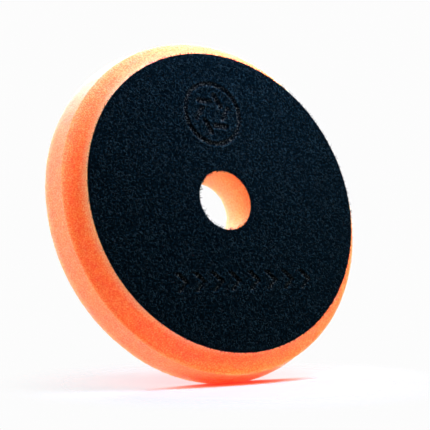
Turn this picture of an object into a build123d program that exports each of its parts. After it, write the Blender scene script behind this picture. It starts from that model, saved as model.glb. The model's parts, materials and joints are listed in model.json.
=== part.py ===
"""Foam polishing pad with a loop backing, standing on its rim.

The pad's axis is along Y. The loop face lies at y = 0 and faces -Y, the working face is
at y = PAD_THICKNESS and faces +Y, and +Z is the pad's own upright direction. The origin
is the centre of the loop face. All sizes are in millimetres.
"""

import os

from build123d import *

# Driving sizes of the pad
BACKING_RADIUS = 75.0
HOLE_RADIUS = 15.0
PAD_THICKNESS = 23.5

# The three bonded layers, measured along the pad's axis
LOOP_THICKNESS = 1.5
FILM_THICKNESS = 0.25
FOAM_START = LOOP_THICKNESS + FILM_THICKNESS

# Foam outline: a short wall behind the backing, a hollowed bevel out to a ridge, a flared rim
WALL_DEPTH = 1.5
RIDGE_RADIUS = BACKING_RADIUS + 8.6
RIDGE_DEPTH = 10.6
BEVEL_HOLLOW = 1.3
WORKING_RADIUS = BACKING_RADIUS + 10.8
WORKING_EDGE_ROUND = 0.4

# Marks pressed into the pile of the loop backing
EMBOSS_DEPTH = 0.8
EMBLEM_HEIGHT = 43.5
EMBLEM_RADIUS = 15.5
EMBLEM_GROOVE = 2.0
BLADE_COUNT = 6
BLADE_RING_RADIUS = 7.5
BLADE_LENGTH = 9.0
BLADE_WIDTH = 2.4
BLADE_TILT = 55.0

CHEVRON_ROW_CENTRE = (3.0, -40.5)
CHEVRONS_PER_GROUP = 4
CHEVRON_PITCH = 10.0
CHEVRON_GROUP_SPACING = 41.0
CHEVRON_HALF_HEIGHT = 4.7
CHEVRON_POINT = 4.4
CHEVRON_STROKE = 2.6

os.makedirs("parts", exist_ok=True)


# Loop backing: the knitted disc that a hook-faced backing plate grips
with BuildPart() as loop_backing:
    with BuildSketch(Plane.XZ):
        Circle(BACKING_RADIUS)
        Circle(HOLE_RADIUS, mode=Mode.SUBTRACT)
    extrude(amount=-LOOP_THICKNESS)

    # Emblem above the hole: a ring round a pinwheel of tilted blades
    with BuildSketch(Plane.XZ):
        with Locations((0, EMBLEM_HEIGHT)):
            Circle(EMBLEM_RADIUS + EMBLEM_GROOVE / 2)
            Circle(EMBLEM_RADIUS - EMBLEM_GROOVE / 2, mode=Mode.SUBTRACT)
            with PolarLocations(BLADE_RING_RADIUS, BLADE_COUNT):
                SlotOverall(BLADE_LENGTH, BLADE_WIDTH, rotation=BLADE_TILT)
    extrude(amount=-EMBOSS_DEPTH, mode=Mode.SUBTRACT)

    # Row of chevrons below the hole, in two groups
    with BuildSketch(Plane.XZ):
        with Locations(CHEVRON_ROW_CENTRE):
            with GridLocations(CHEVRON_GROUP_SPACING, 0, 2, 1):
                with GridLocations(CHEVRON_PITCH, 0, CHEVRONS_PER_GROUP, 1):
                    Polygon(
                        (0, -CHEVRON_HALF_HEIGHT),
                        (CHEVRON_STROKE, -CHEVRON_HALF_HEIGHT),
                        (CHEVRON_STROKE + CHEVRON_POINT, 0),
                        (CHEVRON_STROKE, CHEVRON_HALF_HEIGHT),
                        (0, CHEVRON_HALF_HEIGHT),
                        (CHEVRON_POINT, 0),
                        align=(Align.CENTER, Align.CENTER),
                    )
    extrude(amount=-EMBOSS_DEPTH, mode=Mode.SUBTRACT)

loop_backing.part.label = "loop_backing"
export_step(loop_backing.part, "parts/loop_backing.step")


# Adhesive film: the hot-melt layer that bonds the backing to the foam
with BuildPart() as adhesive_film:
    with BuildSketch(Plane.XZ.offset(-LOOP_THICKNESS)):
        Circle(BACKING_RADIUS)
        Circle(HOLE_RADIUS, mode=Mode.SUBTRACT)
    extrude(amount=-FILM_THICKNESS)

adhesive_film.part.label = "adhesive_film"
export_step(adhesive_film.part, "parts/adhesive_film.step")


# Foam body: the soft disc, turned about the pad's axis from its half outline
with BuildPart() as foam_body:
    with BuildSketch(Plane.XY):
        with BuildLine():
            wall = Line(
                (BACKING_RADIUS, FOAM_START),
                (BACKING_RADIUS, FOAM_START + WALL_DEPTH),
            )
            bevel = SagittaArc(wall @ 1, (RIDGE_RADIUS, RIDGE_DEPTH), BEVEL_HOLLOW)
            Polyline(
                bevel @ 1,
                (WORKING_RADIUS, PAD_THICKNESS),
                (HOLE_RADIUS, PAD_THICKNESS),
                (HOLE_RADIUS, FOAM_START),
                wall @ 0,
            )
        make_face()
    revolve(axis=Axis.Y)
    working_edge = foam_body.edges().group_by(Axis.Y)[-1].sort_by(SortBy.RADIUS)[-1]
    fillet(working_edge, WORKING_EDGE_ROUND)

foam_body.part.label = "foam_body"
export_step(foam_body.part, "parts/foam_body.step")
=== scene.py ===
"""Looks for a foam polishing pad that leans back on its rim with its loop backing to the camera.

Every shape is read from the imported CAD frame, so all sizes here are in metres and in the row frame:
the pad's axis is Y, its loop face looks along -Y and its pressed marks stand upright along +Z.
"""

import json
import math

import bpy
import numpy as np
from mathutils import Matrix, Vector


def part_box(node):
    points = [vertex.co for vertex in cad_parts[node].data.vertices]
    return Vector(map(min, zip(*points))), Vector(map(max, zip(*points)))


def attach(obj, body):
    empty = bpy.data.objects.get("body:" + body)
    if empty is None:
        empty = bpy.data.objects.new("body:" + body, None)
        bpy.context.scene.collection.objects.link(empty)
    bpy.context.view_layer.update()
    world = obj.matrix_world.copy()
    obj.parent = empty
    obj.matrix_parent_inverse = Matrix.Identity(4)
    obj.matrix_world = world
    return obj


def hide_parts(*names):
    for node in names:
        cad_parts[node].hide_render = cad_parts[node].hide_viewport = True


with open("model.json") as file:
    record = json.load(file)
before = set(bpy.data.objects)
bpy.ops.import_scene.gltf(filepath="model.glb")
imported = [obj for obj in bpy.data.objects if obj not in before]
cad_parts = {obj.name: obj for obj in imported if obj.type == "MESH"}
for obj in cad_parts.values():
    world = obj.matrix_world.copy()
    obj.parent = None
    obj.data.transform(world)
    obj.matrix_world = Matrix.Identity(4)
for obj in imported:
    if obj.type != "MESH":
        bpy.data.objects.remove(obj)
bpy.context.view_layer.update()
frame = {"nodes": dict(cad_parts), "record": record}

MM = 0.001
FULL_TURN = 2 * math.pi
BODY = "root"
WHITE = (1, 1, 1)
BLACK = (0, 0, 0)

# Places read from the frame
FOAM = frame["nodes"]["foam_body"]
BACKING = frame["nodes"]["loop_backing"]
FOAM_LOW, FOAM_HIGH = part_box("foam_body")
FILM_LOW, FILM_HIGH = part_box("adhesive_film")
LOOP_LOW, LOOP_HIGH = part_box("loop_backing")
BACKING_RADIUS = LOOP_HIGH.x
RIM_RADIUS = FOAM_HIGH.x
HOLE = next(mount for mount in frame["record"]["mounts"] if mount["name"] == "centre_hole")
HOLE_RADIUS = HOLE["dims"]["r_mm"] * MM

# How far the pad leans back, how far the camera's look is turned about it and drops below level, how
# far away the camera stands, and how far aside of and above the loop face's centre it aims
LEAN = math.radians(16.3)
VIEW_TURN = math.radians(33.8)
VIEW_DROP = math.radians(0.5)
VIEW_DISTANCE = 0.799
VIEW_ASIDE = -5.5 * MM
VIEW_ABOVE = -7.4 * MM

# The camera's lens and sensor width, in millimetres as cameras have them
LENS = 138.7
SENSOR = 36.0


# ---------------------------------------------------------------- numbers and meshes

# Large odd numbers that mix up a place's whole numbers and the seed, the highest result of the mixing,
# and a shift that keeps places positive
HASH_X, HASH_Y, HASH_Z, HASH_SEED = 73856093, 19349663, 83492791, 2654435761
HASH_MIX = 1274126177
HASH_TOP = 0xFFFF
CELLS_TO_POSITIVE = 1000.0


def smooth_noise(points, cell, seed):
    """Value noise from -1 to 1 at each point, with lumps about one cell across."""
    place = np.asarray(points, float) / cell + CELLS_TO_POSITIVE
    corner = np.floor(place).astype(np.int64)
    part = place - corner
    part = part * part * (3 - 2 * part)
    total = np.zeros(len(place))
    for step in np.ndindex(2, 2, 2):
        at = corner + np.array(step)
        mixed = at[:, 0] * HASH_X ^ at[:, 1] * HASH_Y ^ at[:, 2] * HASH_Z ^ seed * HASH_SEED
        mixed = (mixed ^ (mixed >> 13)) * HASH_MIX & 0xFFFFFFFF
        mixed = (mixed ^ (mixed >> 16)) & HASH_TOP
        weight = np.prod(np.where(step, part, 1 - part), axis=1)
        total += weight * (2 * mixed / HASH_TOP - 1)
    return total


def uneven(points, waves):
    """The height at each point of a surface with several waves, each a (height, size, seed)."""
    return sum(height * smooth_noise(points, cell, seed) for height, cell, seed in waves)


def add_piece(name, points, loops, sizes, material):
    """A mesh object from point places, the flat list of face corners and each face's corner count."""
    mesh = bpy.data.meshes.new(name)
    mesh.vertices.add(len(points))
    mesh.vertices.foreach_set("co", np.asarray(points, np.float32).ravel())
    mesh.loops.add(len(loops))
    mesh.loops.foreach_set("vertex_index", np.asarray(loops, np.int32))
    mesh.polygons.add(len(sizes))
    starts = np.concatenate(([0], np.cumsum(sizes)[:-1]))
    mesh.polygons.foreach_set("loop_start", starts.astype(np.int32))
    mesh.update(calc_edges=True)
    mesh.validate()
    mesh.polygons.foreach_set("use_smooth", np.full(len(mesh.polygons), True))
    mesh.materials.append(material)
    piece = bpy.data.objects.new(name, mesh)
    bpy.context.scene.collection.objects.link(piece)
    return piece


def set_value(piece, name, values):
    """Stores one number per point, for the material to read."""
    attribute = piece.data.attributes.new(name, "FLOAT", "POINT")
    attribute.data.foreach_set("value", np.asarray(values, np.float32))


def turned_points(outline, count):
    """Places of an outline of (radius, depth) turned about the pad's axis, ring after ring."""
    angle = np.arange(count) * FULL_TURN / count
    radius = outline[:, 0][:, None]
    depth = np.repeat(outline[:, 1][:, None], count, axis=1)
    return np.stack([radius * np.cos(angle), depth, radius * np.sin(angle)], axis=-1).reshape(-1, 3)


def ring_quads(rings, count, closed=True):
    """Corner indices of the quads between rings of points, as one flat list.

    Where closed, quads also join the last ring to the first.
    """
    here = np.arange(count)
    after = (here + 1) % count
    starts = np.arange(rings if closed else rings - 1)
    low = (starts * count)[:, None]
    high = ((starts + 1) % rings * count)[:, None]
    return np.stack([low + here, high + here, high + after, low + after], axis=-1).reshape(-1)


def add_turned(name, points, rings, count, material):
    """A closed turned piece, from its rings of count points each."""
    quads = ring_quads(rings, count)
    return add_piece(name, points, quads, np.full(len(quads) // 4, 4), material)


def steps(start, end, spacing):
    """Evenly spaced numbers from start up to but not including end."""
    count = max(1, round(abs(end - start) / spacing))
    return np.linspace(start, end, count, endpoint=False)


def on_turned(points):
    """Unit vectors that point away from the pad's axis at each point, and the distances from it."""
    flat = points * np.array([1, 0, 1])
    distance = np.linalg.norm(flat, axis=1)
    return flat / distance[:, None], distance


# ---------------------------------------------------------------- material helpers


def new_material(name):
    """A new node material and its Principled shader."""
    material = bpy.data.materials.new(name)
    material.use_nodes = True
    shader = material.node_tree.nodes["Principled BSDF"]
    return material, shader


def set_inputs(node, **values):
    """Sets inputs by name, with _ for a space."""
    for name, value in values.items():
        node.inputs[name.replace("_", " ")].default_value = value


def add_node(tree, kind, **settings):
    """A new node with its settings."""
    node = tree.nodes.new(kind)
    for name, value in settings.items():
        setattr(node, name, value)
    return node


def texture_of(tree, kind, cell):
    """A texture node read in the row frame, with lumps about one cell across."""
    place = add_node(tree, "ShaderNodeTexCoord")
    texture = add_node(tree, kind)
    set_inputs(texture, Scale=1 / cell)
    tree.links.new(place.outputs["Object"], texture.inputs["Vector"])
    return texture


def noise_of(tree, cell, detail=2.0, roughness=0.5):
    """The factor of a noise whose lumps are about one cell across."""
    noise = texture_of(tree, "ShaderNodeTexNoise", cell)
    set_inputs(noise, Detail=detail, Roughness=roughness)
    return noise.outputs["Fac"]


def ramp(tree, factor, *stops):
    """A colour ramp over (place, colour) stops."""
    node = add_node(tree, "ShaderNodeValToRGB")
    elements = node.color_ramp.elements
    while len(elements) < len(stops):
        elements.new(0.5)
    for element, (place, colour) in zip(elements, stops):
        element.position = place
        element.color = (*colour, 1)
    tree.links.new(factor, node.inputs["Fac"])
    return node.outputs["Color"]


def feed(tree, source, socket):
    """Gives a socket its source, which is either another node's output or a plain value."""
    if isinstance(source, bpy.types.NodeSocket):
        tree.links.new(source, socket)
    else:
        socket.default_value = source


def mix_colour(tree, factor, first, second, blend="MIX"):
    """The first colour mixed with the second by the factor."""
    node = add_node(tree, "ShaderNodeMix", data_type="RGBA", blend_type=blend)
    colours = [socket for socket in node.inputs if socket.type == "RGBA"]
    feed(tree, factor, node.inputs[0])
    for source, socket in zip((first, second), colours):
        feed(tree, source, socket)
    return next(socket for socket in node.outputs if socket.type == "RGBA")


def maths(tree, operation, *sources, clamp=False):
    """The result of a sum on sockets and numbers."""
    node = add_node(tree, "ShaderNodeMath", operation=operation, use_clamp=clamp)
    for source, socket in zip(sources, node.inputs):
        feed(tree, source, socket)
    return node.outputs[0]


def scaled(tree, value, slope, start):
    """The value times slope, plus start."""
    return maths(tree, "ADD", maths(tree, "MULTIPLY", value, slope), start)


def value_of(tree, name):
    """The number that set_value stored on the piece's points."""
    return add_node(tree, "ShaderNodeAttribute", attribute_name=name).outputs["Fac"]


def bump(tree, height, distance, strength, below=None):
    """A surface direction that follows the height, on top of another one where given."""
    node = add_node(tree, "ShaderNodeBump")
    set_inputs(node, Strength=strength, Distance=distance)
    tree.links.new(height, node.inputs["Height"])
    if below is not None:
        tree.links.new(below, node.inputs["Normal"])
    return node.outputs["Normal"]


# ---------------------------------------------------------------- foam

# The foam's colours: skin, blotches, painted glow of light coming through, fuzzy cut skin with painted
# back light, pits and sheen
FOAM_ORANGE = (0.97, 0.178, 0.007)
FOAM_DEEP = (0.96, 0.138, 0.005)
PAINTED_THROUGH_GLOW = (1.00, 0.340, 0.040)
PALE_FUZZ_AND_LIGHT = (0.98, 0.630, 0.370)
GRAIN_SHADE = (0.95, 0.50, 0.34)
FOAM_SHEEN_TINT = (1.0, 0.84, 0.68, 1)

# How much paler its specks are, and how deep red, green and blue light sink into it
SPECK_PALENESS = 0.16
FOAM_SCATTER = (10.0 * MM, 2.2 * MM, 0.8 * MM)

# Sizes of its blotches, grain and cells
MOTTLE = 6 * MM
GRAIN = 0.75 * MM
CELL = 0.5 * MM

# Its unevenness, as (height, size, seed)
FOAM_WAVES = (
    (0.12 * MM, 14 * MM, 1),
    (0.09 * MM, 3 * MM, 2),
    (0.07 * MM, 0.9 * MM, 3),
)


def foam_material():
    """Fine-celled polyurethane foam that light sinks into, pale and fuzzy where cut, painted with back
    light and glow.
    """
    material, shader = new_material("orange_foam")
    tree = material.node_tree
    mottle = noise_of(tree, MOTTLE, detail=3)
    colour = ramp(tree, mottle, (0.30, FOAM_DEEP), (0.55, FOAM_ORANGE), (0.8, FOAM_ORANGE))
    # Painted glow where light comes through the foam, in the hole and beside the ridge
    colour = mix_colour(tree, value_of(tree, "thin"), colour, (*PAINTED_THROUGH_GLOW, 1))
    # Paleness of fuzzy cuts and painted back light; it also raises the shine and sheen
    fuzz_and_painted_light = value_of(tree, "fuzz_and_painted_light")
    grain = noise_of(tree, GRAIN, detail=1.5, roughness=0.7)
    specks = ramp(tree, grain, (0.50, BLACK), (0.70, WHITE))
    paleness = maths(tree, "ADD", fuzz_and_painted_light, maths(tree, "MULTIPLY", specks, SPECK_PALENESS), clamp=True)
    colour = mix_colour(tree, paleness, colour, (*PALE_FUZZ_AND_LIGHT, 1))
    shade = ramp(tree, grain, (0.36, GRAIN_SHADE), (0.56, WHITE))
    colour = mix_colour(tree, maths(tree, "SUBTRACT", 1.0, fuzz_and_painted_light), colour, shade, "MULTIPLY")
    tree.links.new(colour, shader.inputs["Base Color"])
    shine = scaled(tree, fuzz_and_painted_light, slope=0.15, start=0.40)
    tree.links.new(shine, shader.inputs["Specular IOR Level"])
    sheen = scaled(tree, fuzz_and_painted_light, slope=0.25, start=0.12)
    tree.links.new(sheen, shader.inputs["Sheen Weight"])
    set_inputs(shader, Roughness=0.65, Sheen_Roughness=0.5, Sheen_Tint=FOAM_SHEEN_TINT)
    set_inputs(shader, Subsurface_Weight=1.0, Subsurface_Scale=1.0, Subsurface_Radius=FOAM_SCATTER)
    cells = texture_of(tree, "ShaderNodeTexVoronoi", CELL).outputs["Distance"]
    rough = bump(tree, mottle, 0.2 * MM, 0.2)
    rough = bump(tree, grain, 0.35 * MM, 0.7, rough)
    rough = bump(tree, cells, 0.12 * MM, 0.5, rough)
    tree.links.new(rough, shader.inputs["Normal"])
    return material


def foam_radius(depth):
    """The CAD foam's outer radius at a depth along the axis."""
    hit, place, _, _ = FOAM.ray_cast(Vector((1, depth, 0)), Vector((-1, 0, 0)))
    return place.x if hit else BACKING_RADIUS


def ridge_depth():
    """Where the bevel meets the rim: the depth at which the outer radius bends inward the most."""
    spacing = 0.1 * MM
    depths = np.arange(FOAM_LOW.y + spacing, FOAM_HIGH.y - MM, spacing)
    radii = np.array([foam_radius(depth) for depth in depths])
    return depths[np.argmin(np.diff(radii, 2)) + 1]


RIDGE_DEPTH = ridge_depth()


def foam_outline():
    """The foam's half outline as (radius, depth), from the backing round to the hole."""
    spacing = 0.6 * MM
    skin = 0.01 * MM
    start, end = FOAM_LOW.y, FOAM_HIGH.y
    outer_depths = np.linspace(start + skin, end - skin, round((end - start) / (0.6 * spacing)))
    outer = [(foam_radius(depth), depth) for depth in outer_depths]
    edge_radius = outer[-1][0]
    face_radii = steps(edge_radius - spacing / 2, HOLE_RADIUS + spacing / 2, 1.3 * spacing)
    hole_depths = steps(end, start, 1.2 * spacing)
    back_radii = steps(HOLE_RADIUS, BACKING_RADIUS - spacing / 2, 6 * spacing)
    face = [(radius, end) for radius in face_radii]
    hole = [(HOLE_RADIUS, depth) for depth in hole_depths]
    back = [(radius, start) for radius in back_radii]
    return np.array(outer + face + hole + back)


def eased(value, low, high):
    """Rises smoothly from 0 at low to 1 at high."""
    part = np.clip((value - low) / (high - low), 0, 1)
    return part * part * (3 - 2 * part)


# How pale the cut foam is, as fuzzy cuts and as painted back light and highlights: at least on the face
# and in the hole, on the wall, past the ridge, on the ridge, at the hole's far end, beside the working
# face, and at the working face's own two edges
SKIN_FUZZ = 0.06
WALL_FUZZ_AND_LIGHT = 0.30
RIM_FUZZ_AND_LIGHT = 0.27
RIDGE_FUZZ_AND_LIGHT = 0.09
HOLE_FUZZ_AND_LIGHT = 0.45
FAR_FUZZ_AND_LIGHT = 0.35
FACE_EDGE_FUZZ_AND_LIGHT = 0.6

# How close to a surface still counts as on it
NEAR = 0.1 * MM


def fuzz_and_light_along(outline):
    """How pale the cut foam is along the outline, as fuzzy cuts and as painted back light: most at the
    far edges, least on the bevel.
    """
    radius, depth = outline[:, 0], outline[:, 1]
    start, end = FOAM_LOW.y, FOAM_HIGH.y
    far = FAR_FUZZ_AND_LIGHT * eased(depth, end - 4 * MM, end)
    wall = WALL_FUZZ_AND_LIGHT * (1 - eased(depth, start + 0.5 * MM, start + 5.2 * MM))
    rim = RIM_FUZZ_AND_LIGHT * eased(depth, RIDGE_DEPTH - 0.3 * MM, RIDGE_DEPTH + 0.5 * MM)
    ridge = RIDGE_FUZZ_AND_LIGHT * np.exp(-(((depth - RIDGE_DEPTH) / (0.4 * MM)) ** 2))
    hole = HOLE_FUZZ_AND_LIGHT * eased(depth, start + 2 * MM, end)
    rim_edge = FACE_EDGE_FUZZ_AND_LIGHT * eased(radius, RIM_RADIUS - 2.5 * MM, RIM_RADIUS)
    hole_edge = FACE_EDGE_FUZZ_AND_LIGHT * (1 - eased(radius, HOLE_RADIUS, HOLE_RADIUS + 2.0 * MM))
    inside = radius < HOLE_RADIUS + NEAR
    face = depth > end - NEAR
    outer = radius > BACKING_RADIUS - NEAR
    in_hole = SKIN_FUZZ + hole + far
    on_face = SKIN_FUZZ + rim_edge + hole_edge
    return np.select([inside, face, outer], [in_hole, on_face, wall + rim + ridge + far], 0)


def painted_top_light(points):
    """Painted light: how much paler the foam is made towards its top, as the light from above falls on
    it, and how much less at its foot.
    """
    height = points[:, 2] / RIM_RADIUS
    return 0.08 * height + 0.10 * eased(height, 0.4, 1.0)


def painted_glow_along(outline):
    """How much painted glow of light coming through the foam there is along the outline: in the hole and
    beside the ridge.
    """
    radius, depth = outline[:, 0], outline[:, 1]
    bevel = (radius > BACKING_RADIUS) & (depth < RIDGE_DEPTH + 0.5 * MM)
    inside = radius < HOLE_RADIUS + NEAR
    ridge = 0.3 * eased(radius, BACKING_RADIUS + 3.5 * MM, BACKING_RADIUS + 8.5 * MM)
    hole = 0.4 + 0.6 * eased(depth, FOAM_LOW.y, FOAM_LOW.y + 8 * MM)
    return np.select([inside, bevel], [hole, ridge], 0)


def make_foam(material):
    """The foam disc, with the slight waves and pitted skin of cut foam."""
    count = 720
    outline = foam_outline()
    points = turned_points(outline, count)
    away, _ = on_turned(points)
    ahead = np.roll(outline, -1, axis=0) - np.roll(outline, 1, axis=0)
    ahead /= np.linalg.norm(ahead, axis=1)[:, None]
    out_radius = np.repeat(ahead[:, 1], count)
    out_depth = np.repeat(-ahead[:, 0], count)
    outward = away * out_radius[:, None] + np.array([0, 1, 0]) * out_depth[:, None]
    bonded = points[:, 1] < FOAM_LOW.y + 0.2 * MM
    height = np.where(bonded, 0, uneven(points, FOAM_WAVES))
    points = points + outward * height[:, None]
    piece = add_turned("foam_disc", points, len(outline), count, material)
    # Paleness of fuzzy cuts and painted back light, and painted light that grows towards the top
    fuzz_and_painted_light = np.repeat(fuzz_and_light_along(outline), count) + painted_top_light(points)
    set_value(piece, "fuzz_and_painted_light", np.clip(fuzz_and_painted_light, 0, 1))
    # Painted glow of light coming through the foam
    set_value(piece, "thin", np.repeat(painted_glow_along(outline), count))
    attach(piece, BODY)
    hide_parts("foam_body")


# ---------------------------------------------------------------- adhesive film

FILM_DARK = (0.55, 0.12, 0.07)
FILM_LIGHT = (0.80, 0.28, 0.18)


def film_material():
    """Hot-melt adhesive: a thin, slightly glossy film that shows as a fine line."""
    material, shader = new_material("hot_melt_film")
    tree = material.node_tree
    streak = noise_of(tree, 2.5 * MM, detail=2)
    colour = ramp(tree, streak, (0.35, FILM_DARK), (0.65, FILM_LIGHT))
    tree.links.new(colour, shader.inputs["Base Color"])
    set_inputs(shader, Roughness=0.35, Specular_IOR_Level=0.4, Subsurface_Weight=0.4)
    set_inputs(shader, Subsurface_Radius=(1.0 * MM, 0.4 * MM, 0.3 * MM), Subsurface_Scale=1.0)
    tree.links.new(bump(tree, streak, 0.1 * MM, 0.4), shader.inputs["Normal"])
    return material


def make_film(material):
    """The adhesive layer, squeezed out a hair here and there along both cut edges."""
    count = 720
    low, high = FILM_LOW.y, FILM_HIGH.y
    middle = (low + high) / 2
    inset = 0.15 * MM
    inner, outer = HOLE_RADIUS + inset, BACKING_RADIUS - inset
    flat = list(steps(outer, inner, 5 * MM))
    outline = [(outer + inset / 2, middle)]
    outline += [(radius, high) for radius in flat]
    outline += [(inner, high), (inner - inset / 2, middle), (inner, low)]
    outline += [(radius, low) for radius in reversed(flat)]
    outline = np.array(outline)
    points = turned_points(outline, count)
    away, distance = on_turned(points)
    edge = np.where(distance > outer - MM, 1.0, 0.0) - np.where(distance < inner + MM, 1.0, 0.0)
    ooze = 0.12 * MM * smooth_noise(points * np.array([1, 0, 1]), 2.5 * MM, 5)
    points = points + away * (edge * ooze)[:, None]
    piece = add_turned("bond_film", points, len(outline), count, material)
    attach(piece, BODY)
    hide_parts("adhesive_film")


# ---------------------------------------------------------------- loop backing

# The pile's colours: from its gaps to its tips, its sheen, its painted glints on fused fibres and its
# depths in the marks
PILE_DARK = (0.0004, 0.0018, 0.0029)
PILE_MID = (0.0013, 0.0059, 0.0094)
PILE_LIGHT = (0.0092, 0.0272, 0.0392)
PILE_SHEEN = {"Sheen_Weight": 0.011, "Sheen_Roughness": 0.5, "Sheen_Tint": (0.32, 0.70, 0.82, 1)}
PILE_FUSED_GLINT = (0.0640, 0.0740, 0.0660)
PILE_SUNK = (0, 0.0002, 0.0005)

# Its unevenness, and that of its cut edges, as (height, size, seed)
PILE_WAVES = (
    (0.10 * MM, 1.1 * MM, 11),
    (0.08 * MM, 4 * MM, 12),
    (0.10 * MM, 0.6 * MM, 13),
)
EDGE_WAVES = ((0.07 * MM, 0.6 * MM, 14),)


def pile_material():
    """Brushed loop pile: nearly black teal with fine lighter flecks, darker in the marks, with painted
    glints on their fused fibres.
    """
    material, shader = new_material("loop_pile")
    tree = material.node_tree
    tuft = noise_of(tree, 0.9 * MM, detail=2, roughness=0.6)
    colour = ramp(tree, tuft, (0.44, PILE_DARK), (0.56, PILE_MID), (0.70, PILE_LIGHT))
    # Painted light and shade on the marks' slopes
    colour = with_painted_slope_shading(tree, colour)
    pressed = value_of(tree, "pressed")
    sunk = maths(tree, "MULTIPLY", pressed, 0.8, clamp=True)
    colour = mix_colour(tree, sunk, colour, (*PILE_SUNK, 1))
    # Painted glints, sparse, on the fused fibres in the marks
    glint = noise_of(tree, 0.5 * MM, detail=0)
    glint_mask = ramp(tree, glint, (0.66, BLACK), (0.74, WHITE))
    fused = maths(tree, "MULTIPLY", glint_mask, pressed, clamp=True)
    colour = mix_colour(tree, fused, colour, (*PILE_FUSED_GLINT, 1))
    tree.links.new(colour, shader.inputs["Base Color"])
    set_inputs(shader, Roughness=0.8, Specular_IOR_Level=0.0, **PILE_SHEEN)
    nap = bump(tree, tuft, 0.5 * MM, 0.8)
    tree.links.new(nap, shader.inputs["Normal"])
    return material


def pressed_map(spacing):
    """How far the CAD backing is pressed in at each place of a square grid, read by rays along +Y."""
    side = round(2 * BACKING_RADIUS / spacing) + 1
    places = np.linspace(-BACKING_RADIUS, BACKING_RADIUS, side)
    start = LOOP_LOW.y - MM
    pressed = np.zeros((side, side))
    for row, z in enumerate(places):
        for column, x in enumerate(places):
            if HOLE_RADIUS < math.hypot(x, z) < BACKING_RADIUS:
                hit, place, _, _ = BACKING.ray_cast(Vector((x, start, z)), Vector((0, 1, 0)))
                pressed[row, column] = place.y - LOOP_LOW.y if hit else 0
    return pressed


def blurred(grid, reach):
    """The grid smoothed by a bell curve reach cells wide, one way and then the other."""
    offsets = np.arange(-3 * reach, 3 * reach + 1)
    weights = np.exp(-((offsets / reach) ** 2) / 2)
    weights /= weights.sum()
    padded = np.pad(grid, 3 * reach, mode="edge")
    rows, columns = grid.shape
    across = sum(weight * padded[:, shift : shift + columns] for shift, weight in enumerate(weights))
    return sum(weight * across[shift : shift + rows] for shift, weight in enumerate(weights))


def read_grid(grid, spacing, x, z):
    """The grid's values between its cells at each (x, z)."""
    column = np.clip((x + BACKING_RADIUS) / spacing, 0, grid.shape[1] - 1.001)
    row = np.clip((z + BACKING_RADIUS) / spacing, 0, grid.shape[0] - 1.001)
    c, r = column.astype(int), row.astype(int)
    past_column, past_row = column - c, row - r
    here = grid[r, c] * (1 - past_column) + grid[r, c + 1] * past_column
    after = grid[r + 1, c] * (1 - past_column) + grid[r + 1, c + 1] * past_column
    return here * (1 - past_row) + after * past_row


# The pressed marks on a square grid, the same softened as in pile, and spread wide for their lips
MARK_SPACING = 0.3 * MM
MARKS = pressed_map(MARK_SPACING)
SOFT_MARKS = blurred(MARKS, 1)
MARK_LIP = blurred(MARKS, 4)
MARK_DEPTH = MARKS.max()


def pile_height(x, z):
    """How far the pile's face stands behind the CAD loop face: pressed marks with a raised lip."""
    pressed = read_grid(SOFT_MARKS, MARK_SPACING, x, z)
    lip = read_grid(MARK_LIP, MARK_SPACING, x, z)
    return 1.15 * pressed - 0.60 * lip


def painted_slope_light(x, z):
    """Painted light and shade on the marks' slopes: how far the pile at each place faces towards (1) or
    away from (-1) the light from the upper right, at the edge of a mark.
    """
    along_x, along_z = 0.14 * MM, 0.315 * MM
    ahead = pile_height(x + along_x, z + along_z)
    behind = pile_height(x - along_x, z - along_z)
    return np.clip((ahead - behind) / (0.5 * MM), -1, 1)


def set_marks(piece, x, z):
    """Stores how pressed the pile is at each point, and its painted light and shade on the marks' slopes.
    """
    set_value(piece, "pressed", read_grid(SOFT_MARKS, MARK_SPACING, x, z) / MARK_DEPTH)
    set_value(piece, "tilt", painted_slope_light(x, z))


def with_painted_slope_shading(tree, colour):
    """The colour with painted light and shade: lighter on slopes that face the light from the upper
    right, darker on those facing away.
    """
    half = maths(tree, "MULTIPLY_ADD", value_of(tree, "tilt"), 0.5, 0.5)
    shade = ramp(tree, half, (0.25, (0.06, 0.06, 0.06)), (0.48, (0.3, 0.3, 0.3)), (0.80, WHITE))
    return mix_colour(tree, 1.0, colour, shade, "MULTIPLY")


def make_backing(material):
    """The loop fabric: a lumpy pile face with pressed marks, rounded over at its cut edges."""
    count = 880
    face_spacing = 0.52 * MM
    edge_round = 0.35 * MM
    face, back = LOOP_LOW.y, LOOP_HIGH.y
    inner, outer = HOLE_RADIUS, BACKING_RADIUS
    face_count = round((outer - inner) / face_spacing)
    face_radii = np.linspace(outer - edge_round, inner + edge_round, face_count)
    side, corner = 0.05 * MM, 0.12 * MM
    side_depths = (back, back - 0.5 * MM, face + 0.45 * MM)
    outline = [(outer - side, depth) for depth in side_depths]
    outline += [(outer - corner, face + corner)]
    outline += [(radius, face) for radius in face_radii]
    outline += [(inner + corner, face + corner)]
    outline += [(inner + side, depth) for depth in reversed(side_depths)]
    outline += [(radius, back) for radius in np.linspace(inner, outer, 12)[1:-1]]
    outline = np.array(outline)
    points = turned_points(outline, count)
    away, distance = on_turned(points)
    x, z = points[:, 0], points[:, 2]
    on_face = points[:, 1] < face + 0.2 * MM
    points[:, 1] += np.where(on_face, pile_height(x, z) + uneven(points, PILE_WAVES), 0)
    rim = (distance > outer - 0.5 * MM) | (distance < inner + 0.5 * MM)
    ragged = rim & (points[:, 1] < back - 0.1 * MM)
    points += away * np.where(ragged, uneven(points, EDGE_WAVES), 0)[:, None]
    piece = add_turned("loop_disc", points, len(outline), count, material)
    set_marks(piece, x, z)
    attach(piece, BODY)
    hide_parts("loop_backing")


# ---------------------------------------------------------------- fibres

FIBRE_DARK = (0.0008, 0.0035, 0.0056)
FIBRE_LIGHT = (0.0190, 0.0580, 0.0740)

SEED = 7

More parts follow.
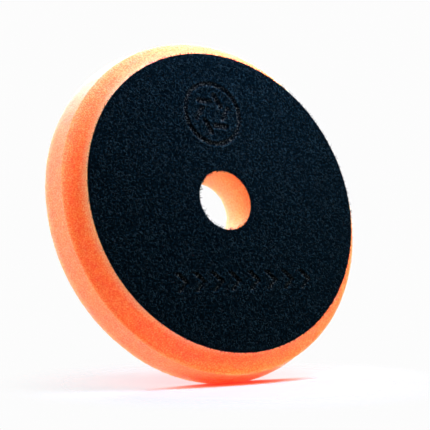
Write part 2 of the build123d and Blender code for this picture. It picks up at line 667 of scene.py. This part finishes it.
# How many places on the face are tried for a loop, how many fibres stick out of each cut edge, how long
# the longest are, and how thick loops and fibres are along themselves as parts of their own radius
LOOP_COUNT = 12000
OUTER_COUNT = 2600
INNER_COUNT = 600
OUTER_LONGEST = 1.6 * MM
INNER_LONGEST = 2.0 * MM
LOOP_TAPER = np.array([0.6, 1.0, 1.0, 1.0, 0.6])
HAIR_TAPER = np.array([1.0, 0.85, 0.35])


def fibre_material():
    """Single pile fibres: dark teal with a soft shine along them."""
    material, shader = new_material("loop_fibre")
    tree = material.node_tree
    tone = noise_of(tree, 1.2 * MM, detail=1)
    colour = ramp(tree, tone, (0.38, FIBRE_DARK), (0.66, FIBRE_LIGHT))
    # Painted light and shade on the marks' slopes
    colour = with_painted_slope_shading(tree, colour)
    tree.links.new(colour, shader.inputs["Base Color"])
    set_inputs(shader, Roughness=0.5, Specular_IOR_Level=0.025, **PILE_SHEEN)
    return material


def tubes(lines, radius):
    """Points, corners and corner counts of thin three-sided closed tubes along lines of points.

    lines holds one row of points per tube, and radius one number per point of each tube.
    """
    tube_count, length = lines.shape[:2]
    along = np.gradient(lines, axis=1)
    along /= np.linalg.norm(along, axis=2)[..., None]
    hardly_along = np.array([0.31, -0.87, 0.38])
    side = np.cross(along, hardly_along)
    side /= np.linalg.norm(side, axis=2)[..., None]
    other = np.cross(along, side)
    angle = np.arange(3) * FULL_TURN / 3
    ring = side[:, :, None] * np.cos(angle)[:, None] + other[:, :, None] * np.sin(angle)[:, None]
    points = lines[:, :, None] + ring * radius[:, :, None, None]
    corner = np.arange(3)
    after = (corner + 1) % 3
    first = (np.arange(length - 1) * 3)[:, None]
    ahead = first + 3
    quads = np.stack([first + corner, first + after, ahead + after, ahead + corner], axis=-1)
    last = (length - 1) * 3
    caps = np.array([2, 1, 0, last, last + 1, last + 2])
    one = np.concatenate([quads.reshape(-1), caps])
    starts = (np.arange(tube_count) * length * 3)[:, None]
    loops = (starts + one[None]).ravel()
    sizes = np.tile([4] * (3 * (length - 1)) + [3, 3], tube_count)
    return points.reshape(-1, 3), loops, sizes


def loop_lines(random, count):
    """Small arches of yarn lying over the pile face, brushed mostly one way, with none in the marks."""
    inner, outer = HOLE_RADIUS + 0.4 * MM, BACKING_RADIUS - 0.4 * MM
    radius = np.sqrt(random.uniform(inner**2, outer**2, count))
    angle = random.uniform(0, FULL_TURN, count)
    x, z = radius * np.cos(angle), radius * np.sin(angle)
    free = read_grid(SOFT_MARKS, MARK_SPACING, x, z) < 0.35 * MARK_DEPTH
    x, z = x[free], z[free]
    count = len(x)
    heading = random.normal(math.radians(-35), 0.9, count)
    span = random.uniform(0.9, 2.2, count) * MM
    rise = random.uniform(0.12, 0.42, count) * MM
    sway = random.normal(0, 0.28, count) * MM
    part = np.linspace(-1, 1, len(LOOP_TAPER))
    arch = 1 - part**2
    along = span[:, None] / 2 * part
    aside = sway[:, None] * arch
    cosine, sine = np.cos(heading)[:, None], np.sin(heading)[:, None]
    x = x[:, None] + along * cosine - aside * sine
    z = z[:, None] + along * sine + aside * cosine
    ground = pile_height(x, z) + LOOP_LOW.y
    y = ground + 0.10 * MM - rise[:, None] * arch
    return np.stack([x, y, z], axis=-1)


def fringe_lines(random, count, edge, sign, longest):
    """Cut fibres that stick out of a cut edge, outward for sign 1 and inward for -1, few of them long."""
    angle = random.uniform(0, FULL_TURN, count)
    depth = LOOP_LOW.y + random.uniform(0.05, 1.1, count) * MM
    shortest = 0.4 * MM
    length = shortest + (longest - shortest) * random.uniform(0, 1, count) ** 3
    out = np.stack([np.cos(angle), np.zeros(count), np.sin(angle)], axis=-1) * sign
    round_it = np.stack([-np.sin(angle), np.zeros(count), np.cos(angle)], axis=-1)
    front = np.array([0, -1.0, 0])
    lean = random.normal(0, 0.45, count)[:, None]
    tip = random.normal(0.15, 0.35, count)[:, None]
    curl = random.normal(0, 0.35, count)[:, None]
    buried = 0.25 * MM
    root = out * sign * (edge - sign * buried)
    root[:, 1] = depth
    aim = out + round_it * lean + front * tip
    aim /= np.linalg.norm(aim, axis=1)[:, None]
    middle = root + aim * (length[:, None] * 0.55)
    end = root + (aim + round_it * curl) * length[:, None]
    return np.stack([root, middle, end], axis=1)


def make_fibres(material):
    """Loops over the face and cut fibres along both edges of the backing."""
    random = np.random.default_rng(SEED)
    loops = loop_lines(random, LOOP_COUNT)
    loop_radius = random.uniform(0.07, 0.16, len(loops)) * MM
    face = tubes(loops, loop_radius[:, None] * LOOP_TAPER)
    outer = fringe_lines(random, OUTER_COUNT, BACKING_RADIUS, 1, OUTER_LONGEST)
    inner = fringe_lines(random, INNER_COUNT, HOLE_RADIUS, -1, INNER_LONGEST)
    outer_radius = random.uniform(0.07, 0.15, len(outer)) * MM
    inner_radius = random.uniform(0.09, 0.19, len(inner)) * MM
    hair_radius = np.concatenate([outer_radius, inner_radius])
    hairs = tubes(np.concatenate([outer, inner]), hair_radius[:, None] * HAIR_TAPER)
    for name, (points, corners, sizes) in (("pile_loops", face), ("cut_fibres", hairs)):
        piece = add_piece(name, points, corners, sizes, material)
        set_marks(piece, points[:, 0], points[:, 2])
        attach(piece, BODY)


# ---------------------------------------------------------------- stage, lights and camera

# The stage's own directions: up from the floor, away from the camera's side along it, and to the right
UP = Vector((0, -math.sin(LEAN), math.cos(LEAN)))
INTO = Vector((0, math.cos(LEAN), math.sin(LEAN)))
ACROSS = Vector((1, 0, 0))
LEVEL_LOOK = ACROSS * math.sin(VIEW_TURN) + INTO * math.cos(VIEW_TURN)
LOOK = LEVEL_LOOK * math.cos(VIEW_DROP) - UP * math.sin(VIEW_DROP)

# The rim's lowest point, and how far the soft rim is sunk into the floor there
FOOT = Vector((0, FOAM_HIGH.y, -RIM_RADIUS))
FOOT_SINK = 0.9 * MM

# The floor, and how far from the foot the camera sees it start and end fading into the background
FLOOR_RADIUS = 0.75
FADE_START = 0.03 * FLOOR_RADIUS
FADE_END = 0.16 * FLOOR_RADIUS

# Its paper as the camera sees it, as light meets it, and its painted contact shadow lit red by the foam
# at the foot
PAPER_SEEN = (0.555, 0.575, 0.55, 1)
PAPER_LIT = (0.66, 0.66, 0.66, 1)
PAINTED_RED_CONTACT = (0.56, 0.14, 0.08, 1)
RED_HALF_LENGTH = 42 * MM
RED_HALF_WIDTH = 11 * MM
RED_FORWARD = 7 * MM


def smooth_range(tree, value, start, end, top=1.0):
    """Rises smoothly from 0 where the value is start to top where it is end."""
    node = add_node(tree, "ShaderNodeMapRange", interpolation_type="SMOOTHSTEP")
    set_inputs(node, From_Min=start, From_Max=end, To_Min=0.0, To_Max=top)
    tree.links.new(value, node.inputs["Value"])
    return node.outputs["Result"]


def length_of(tree, vector):
    """The length of a vector."""
    node = add_node(tree, "ShaderNodeVectorMath", operation="LENGTH")
    tree.links.new(vector, node.inputs[0])
    return node.outputs["Value"]


def floor_material():
    """Pale paper with a soft ellipse of painted red light and contact shadow from the foam at the pad's
    foot.

    The camera sees it fade into the background, and it is clear from below.
    """
    material, shader = new_material("pale_floor")
    tree = material.node_tree
    set_inputs(shader, Roughness=0.9, Specular_IOR_Level=0.1)
    place = add_node(tree, "ShaderNodeTexCoord").outputs["Object"]
    seen = add_node(tree, "ShaderNodeLightPath").outputs["Is Camera Ray"]
    paper = mix_colour(tree, seen, PAPER_LIT, PAPER_SEEN)
    ellipse = add_node(tree, "ShaderNodeVectorMath", operation="MULTIPLY_ADD")
    ellipse.inputs[1].default_value = (1 / RED_HALF_LENGTH, 1 / RED_HALF_WIDTH, 0)
    ellipse.inputs[2].default_value = (0, RED_FORWARD / RED_HALF_WIDTH, 0)
    tree.links.new(place, ellipse.inputs[0])
    # A soft ellipse of painted red light and contact shadow from the foam, at the pad's foot
    red = smooth_range(tree, length_of(tree, ellipse.outputs["Vector"]), 1.0, 0.3)
    paper = mix_colour(tree, red, paper, PAINTED_RED_CONTACT)
    tree.links.new(paper, shader.inputs["Base Color"])
    fade = smooth_range(tree, length_of(tree, place), FADE_START, FADE_END)
    faded = maths(tree, "MULTIPLY", fade, seen)
    below = add_node(tree, "ShaderNodeNewGeometry").outputs["Backfacing"]
    hidden = maths(tree, "MAXIMUM", faded, below)
    clear = add_node(tree, "ShaderNodeBsdfTransparent")
    mix = add_node(tree, "ShaderNodeMixShader")
    tree.links.new(hidden, mix.inputs["Fac"])
    tree.links.new(shader.outputs["BSDF"], mix.inputs[1])
    tree.links.new(clear.outputs["BSDF"], mix.inputs[2])
    tree.links.new(mix.outputs["Shader"], tree.nodes["Material Output"].inputs["Surface"])
    return material


def make_floor(material):
    """A wide round floor under the pad's foot."""
    rings, count = 24, 96
    angle = np.arange(count) * FULL_TURN / count
    spread = np.linspace(0.002, FLOOR_RADIUS, rings)[:, None]
    flat = np.zeros((rings, count))
    points = np.stack([spread * np.cos(angle), spread * np.sin(angle), flat], axis=-1)
    quads = ring_quads(rings, count, closed=False)
    loops = np.concatenate([quads, np.arange(count)])
    sizes = np.append(np.full(len(quads) // 4, 4), count)
    floor = add_piece("floor", points.reshape(-1, 3), loops, sizes, material)
    turn = Matrix((ACROSS, INTO, UP)).transposed().to_4x4()
    floor.matrix_world = Matrix.Translation(FOOT + UP * FOOT_SINK) @ turn


# The surroundings' brightness as the camera sees them, and as they light the pad: a base, and wide
# glows low over the floor, each with its angle from INTO towards ACROSS and its strength
BACKDROP = 0.975
BASE_GLOW = 0.13
GLOW_RISE = math.radians(8)
GLOW_WIDTH = math.radians(50)
GLOWS = (
    (math.radians(-50), 3.15),
    (math.radians(-150), 1.95),
)


def make_world():
    """White surroundings that light the pad from its left, in front and behind."""
    world = bpy.data.worlds.new("white_tent")
    world.use_nodes = True
    tree = world.node_tree
    background = tree.nodes["Background"]
    place = add_node(tree, "ShaderNodeTexCoord").outputs["Generated"]
    glow = BASE_GLOW
    for turn, strength in GLOWS:
        level = INTO * math.cos(turn) + ACROSS * math.sin(turn)
        toward = add_node(tree, "ShaderNodeVectorMath", operation="DOT_PRODUCT")
        tree.links.new(place, toward.inputs[0])
        toward.inputs[1].default_value = level * math.cos(GLOW_RISE) + UP * math.sin(GLOW_RISE)
        part = smooth_range(tree, toward.outputs["Value"], math.cos(GLOW_WIDTH), 1.0, strength)
        glow = maths(tree, "ADD", part, glow)
    ray = add_node(tree, "ShaderNodeLightPath")
    either = add_node(tree, "ShaderNodeMix", data_type="FLOAT")
    tree.links.new(ray.outputs["Is Camera Ray"], either.inputs["Factor"])
    tree.links.new(glow, either.inputs["A"])
    either.inputs["B"].default_value = BACKDROP
    background.inputs["Color"].default_value = (*WHITE, 1)
    tree.links.new(either.outputs["Result"], background.inputs["Strength"])
    bpy.context.scene.world = world


def add_softbox(name, place, target, size, power, colour):
    """A round lamp of a size and power that faces a target, unseen by the camera."""
    light = bpy.data.lights.new(name, "AREA")
    light.shape = "DISK"
    light.size = size
    light.energy = power
    light.color = colour
    lamp = bpy.data.objects.new(name, light)
    lamp.visible_camera = False
    bpy.context.scene.collection.objects.link(lamp)
    lamp.location = place
    lamp.rotation_mode = "QUATERNION"
    lamp.rotation_quaternion = (target - place).to_track_quat("-Z", "Y")
    return lamp


# Each softbox: name, place from the loop face's centre, size, power in watts and colour
COOL_WHITE = (0.96, 0.95, 1.14)
SKY_WHITE = (1.0, 0.97, 1.5)
PAD_MIDDLE = Vector((0, 0.01, 0))
SOFTBOXES = (
    ("top_softbox", UP * 0.148 + ACROSS * 0.02 - INTO * 0.072, 0.09, 0.60, SKY_WHITE),
    ("corner_softbox", UP * 0.15 + ACROSS * 0.12 - INTO * 0.06, 0.10, 0.16, COOL_WHITE),
    ("back_softbox", UP * 0.22 + INTO * 0.22, 0.25, 1.5, COOL_WHITE),
    ("right_softbox", ACROSS * 0.24 + UP * 0.06 - INTO * 0.16, 0.20, 0.65, WHITE),
)

# The red light that comes through the foam onto its own foot, from a long low lamp in front of it
FOOT_GLOW_PLACE = FOOT - INTO * 16 * MM + UP * 3.5 * MM
FOOT_GLOW_LENGTH = 0.09
FOOT_GLOW_HEIGHT = 4 * MM
FOOT_GLOW_POWER = 0.013
FOOT_GLOW = (1.0, 0.08, 0.015)


def make_lights():
    """Soft boxes close over, behind and to the right of the pad, and the glow at its foot."""
    for name, place, size, power, colour in SOFTBOXES:
        add_softbox(name, place, PAD_MIDDLE, size, power, colour)
    lamp = add_softbox("foot_glow", FOOT_GLOW_PLACE, FOOT, FOOT_GLOW_LENGTH, FOOT_GLOW_POWER, FOOT_GLOW)
    lamp.rotation_quaternion = Matrix((ACROSS, UP, -INTO)).transposed().to_quaternion()
    lamp.data.shape = "RECTANGLE"
    lamp.data.size_y = FOOT_GLOW_HEIGHT


def make_camera():
    """The camera stands low over the floor and looks at the pad from its left."""
    camera = bpy.data.cameras.new("camera")
    camera.sensor_width = SENSOR
    camera.lens = LENS
    view = bpy.data.objects.new("camera", camera)
    bpy.context.scene.collection.objects.link(view)
    aside = LOOK.cross(UP).normalized()
    above = aside.cross(LOOK)
    turn = Matrix((aside, above, -LOOK)).transposed().to_4x4()
    target = aside * VIEW_ASIDE + above * VIEW_ABOVE
    view.matrix_world = Matrix.Translation(target - LOOK * VIEW_DISTANCE) @ turn
    bpy.context.scene.camera = view


make_foam(foam_material())
make_film(film_material())
make_backing(pile_material())
make_fibres(fibre_material())
make_floor(floor_material())
make_world()
make_lights()
make_camera()
bpy.context.scene.view_settings.view_transform = "Standard"
